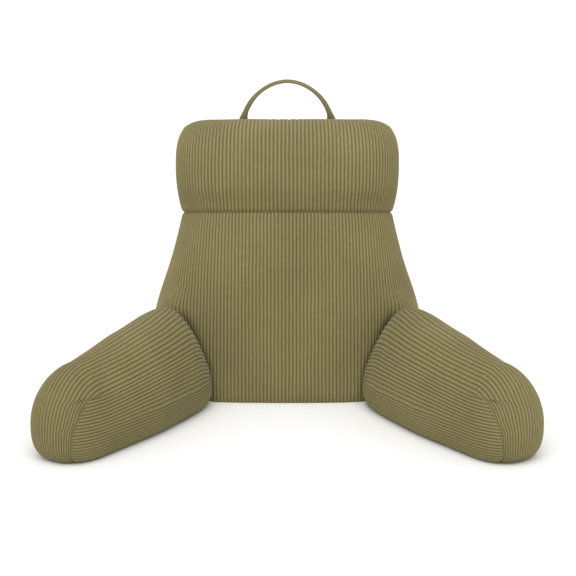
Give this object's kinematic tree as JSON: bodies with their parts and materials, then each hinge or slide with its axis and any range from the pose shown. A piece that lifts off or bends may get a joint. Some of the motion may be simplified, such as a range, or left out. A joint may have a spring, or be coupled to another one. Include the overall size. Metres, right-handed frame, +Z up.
{
  "type": "backrest pillow",
  "caption": "A filled corduroy backrest pillow with a leaning back, a head bolster, arms that reach forward on both sides of the seat, and a carry strap at the top.",
  "frame": {"origin": "centre of the bounding box's base, on the surface the pillow stands on", "axes": "+X to the right seen from the front, across both arms; +Y backward, so the arms reach towards -Y; +Z up"},
  "size_m": [0.7806, 0.6189, 0.5237],
  "materials": {
    "back_body": "matt olive corduroy, wide wales running upright",
    "head_bolster": "matt olive corduroy, wide wales running upright",
    "left_arm": "matt olive corduroy, wide wales running along the arm",
    "right_arm": "matt olive corduroy, wide wales running along the arm",
    "carry_handle": "matt olive corduroy strap, wales running along it"
  },
  "bodies": {
    "root": {"back_body": "back_body", "head_bolster": "head_bolster", "left_arm": "left_arm", "right_arm": "right_arm", "carry_handle": "carry_handle"}
  },
  "joints": []
}
